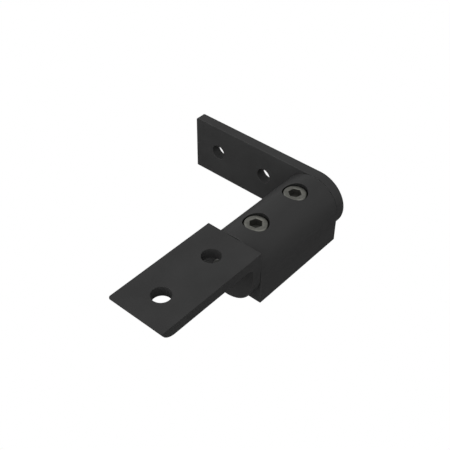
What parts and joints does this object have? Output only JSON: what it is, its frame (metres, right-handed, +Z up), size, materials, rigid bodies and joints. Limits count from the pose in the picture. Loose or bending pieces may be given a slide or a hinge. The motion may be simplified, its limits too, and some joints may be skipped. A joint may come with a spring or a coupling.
{
  "type": "pivot hinge",
  "caption": "Pivot hinge for frame profiles: half-round pivot block with a flat leaf and an L-shaped leaf that swing on its ends, held by friction.",
  "frame": {"origin": "centre of the pivot block's flat base, midway between the two mounting screws", "axes": "+Z up out of the base towards the half-round top; Y along the pivot axis, with the L-shaped near leaf at -Y and the flat far leaf at +Y; the far leaf points towards -X at rest"},
  "size_m": [0.0764, 0.1055, 0.036],
  "materials": {
    "block_black": "matt black anodised extrusion",
    "leaf_black": "matt black anodised plate",
    "screw_steel": "dull grey plated",
    "pivot_steel": "black oxide",
    "spring_steel": "bright spring steel",
    "bushing_plastic": "black acetal",
    "washer_plastic": "natural nylon"
  },
  "bodies": {
    "block": {"pivot_block": "block_black", "near_mounting_screw": "screw_steel", "far_mounting_screw": "screw_steel", "near_pivot_screw": "pivot_steel", "far_pivot_screw": "pivot_steel", "near_friction_washer": "washer_plastic", "far_friction_washer": "washer_plastic", "near_spring_washer": "spring_steel", "far_spring_washer": "spring_steel"},
    "near_leaf": {"near_leaf": "leaf_black", "near_bushing": "bushing_plastic"},
    "far_leaf": {"far_leaf": "leaf_black", "far_bushing": "bushing_plastic"}
  },
  "joints": [
    {"name": "near_leaf_swing", "type": "hinge", "parent": "block", "child": "near_leaf", "pos_m": [0, -0.024, 0.013], "axis": [0, 1, 0], "range_deg": [-90, 90]},
    {"name": "far_leaf_swing", "type": "hinge", "parent": "block", "child": "far_leaf", "pos_m": [0, 0.024, 0.013], "axis": [0, 1, 0], "range_deg": [0, 180]}
  ]
}
